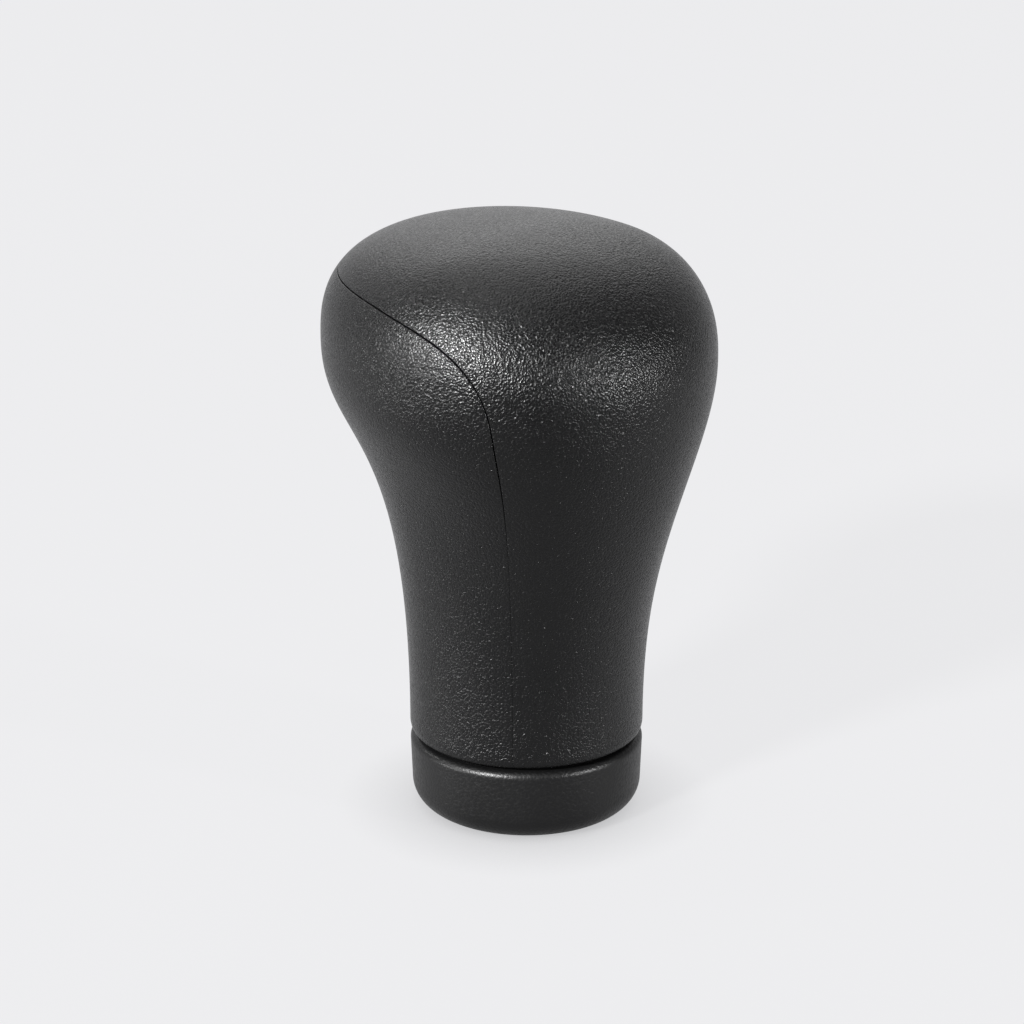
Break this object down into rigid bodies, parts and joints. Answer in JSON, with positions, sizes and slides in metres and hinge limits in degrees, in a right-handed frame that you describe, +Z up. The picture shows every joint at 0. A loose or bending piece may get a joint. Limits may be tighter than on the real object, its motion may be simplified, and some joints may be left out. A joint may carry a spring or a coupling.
{
  "type": "gear shift knob",
  "caption": "Gear shift knob with two moulded shells over a ribbed core, a soft lined lever socket and a quarter-turn locking collar.",
  "frame": {"origin": "centre of the lever socket's mouth, level with the foot of the collar", "axes": "+Z up the lever's axis to the crown, -Y towards the side with the crown's tongue, +X to the right of it"},
  "size_m": [0.0498, 0.0549, 0.0797],
  "materials": {
    "grained_plastic": "leather grain, charcoal black",
    "collar_plastic": "fine satin grain, charcoal black",
    "core_plastic": "plain moulded, dark grey",
    "soft_liner": "matt rubber",
    "spring_steel": "bright spring wire"
  },
  "bodies": {
    "knob": {"crown_shell": "grained_plastic", "grip_shell": "grained_plastic", "core_hub": "core_plastic", "lever_bush": "soft_liner", "finger_spring": "spring_steel"},
    "collar": {"locking_collar": "collar_plastic"}
  },
  "joints": [
    {"name": "collar_turn", "type": "hinge", "parent": "knob", "child": "collar", "pos_m": [0, 0, 0], "axis": [0, 0, 1], "range_deg": [0, 90]}
  ]
}
